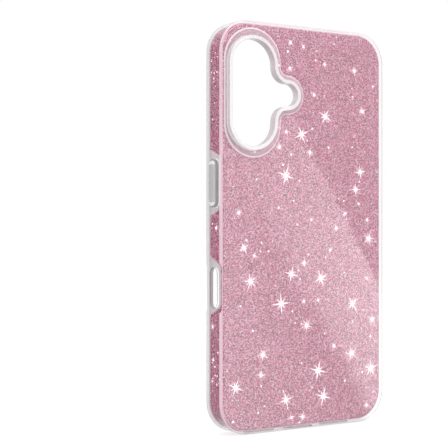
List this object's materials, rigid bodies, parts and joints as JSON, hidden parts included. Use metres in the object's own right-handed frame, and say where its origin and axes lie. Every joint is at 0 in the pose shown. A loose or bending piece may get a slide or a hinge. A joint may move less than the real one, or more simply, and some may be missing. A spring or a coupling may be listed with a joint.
{
  "type": "phone case",
  "caption": "Clear phone case with a glitter film inlay, raised camera collar, inner liner with screen lip, and spring-back side push buttons.",
  "frame": {"origin": "middle of the bottom of the case's bounding box, where it stands on its bottom edge", "axes": "+Z towards the top of the phone, +Y out of the open screen side, -Y out of the decorated back, -X towards the side button"},
  "size_m": [0.0768, 0.0122, 0.1518],
  "materials": {
    "clear_shell": "clear glossy soft plastic",
    "pink_glitter": "fine pink glitter film with silver-white sparkles",
    "clear_liner": "clear glossy plastic",
    "clear_button": "clear glossy soft plastic"
  },
  "bodies": {
    "case": {"outer_shell": "clear_shell", "glitter_film": "pink_glitter", "inner_liner": "clear_liner"},
    "side_button": {"side_button": "clear_button"},
    "volume_up_button": {"volume_up_button": "clear_button"},
    "volume_down_button": {"volume_down_button": "clear_button"}
  },
  "joints": [
    {"name": "side_button_press", "type": "slide", "parent": "case", "child": "side_button", "axis": [1, 0, 0], "range_m": [0, 0.0004], "stiffness_N_per_m": 1500},
    {"name": "volume_up_press", "type": "slide", "parent": "case", "child": "volume_up_button", "axis": [-1, 0, 0], "range_m": [0, 0.0004], "stiffness_N_per_m": 1500},
    {"name": "volume_down_press", "type": "slide", "parent": "case", "child": "volume_down_button", "axis": [-1, 0, 0], "range_m": [0, 0.0004], "stiffness_N_per_m": 1500}
  ]
}
